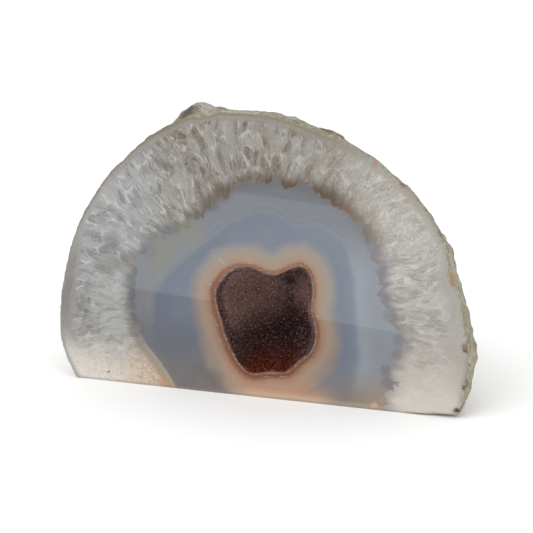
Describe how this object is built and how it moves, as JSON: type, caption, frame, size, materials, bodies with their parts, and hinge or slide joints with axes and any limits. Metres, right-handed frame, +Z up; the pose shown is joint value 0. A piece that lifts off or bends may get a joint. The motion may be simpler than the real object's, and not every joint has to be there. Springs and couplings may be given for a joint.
{
  "type": "agate half nodule",
  "caption": "Half agate nodule: polished flat front with a crystal-lined hollow, flat sawn base, lumpy natural rind on the sides and back.",
  "frame": {"origin": "centre of the bounding box in X and Y, at the height of the sawn base", "axes": "+X to the viewer's right along the polished face, +Y from the polished face towards the back, +Z up from the sawn base"},
  "size_m": [0.1201, 0.0516, 0.0816],
  "materials": {
    "agate": "polished front, ground base, rough natural rind",
    "druse": "fine sparkling crystals"
  },
  "bodies": {
    "root": {"agate": "agate", "druse": "druse"}
  },
  "joints": []
}
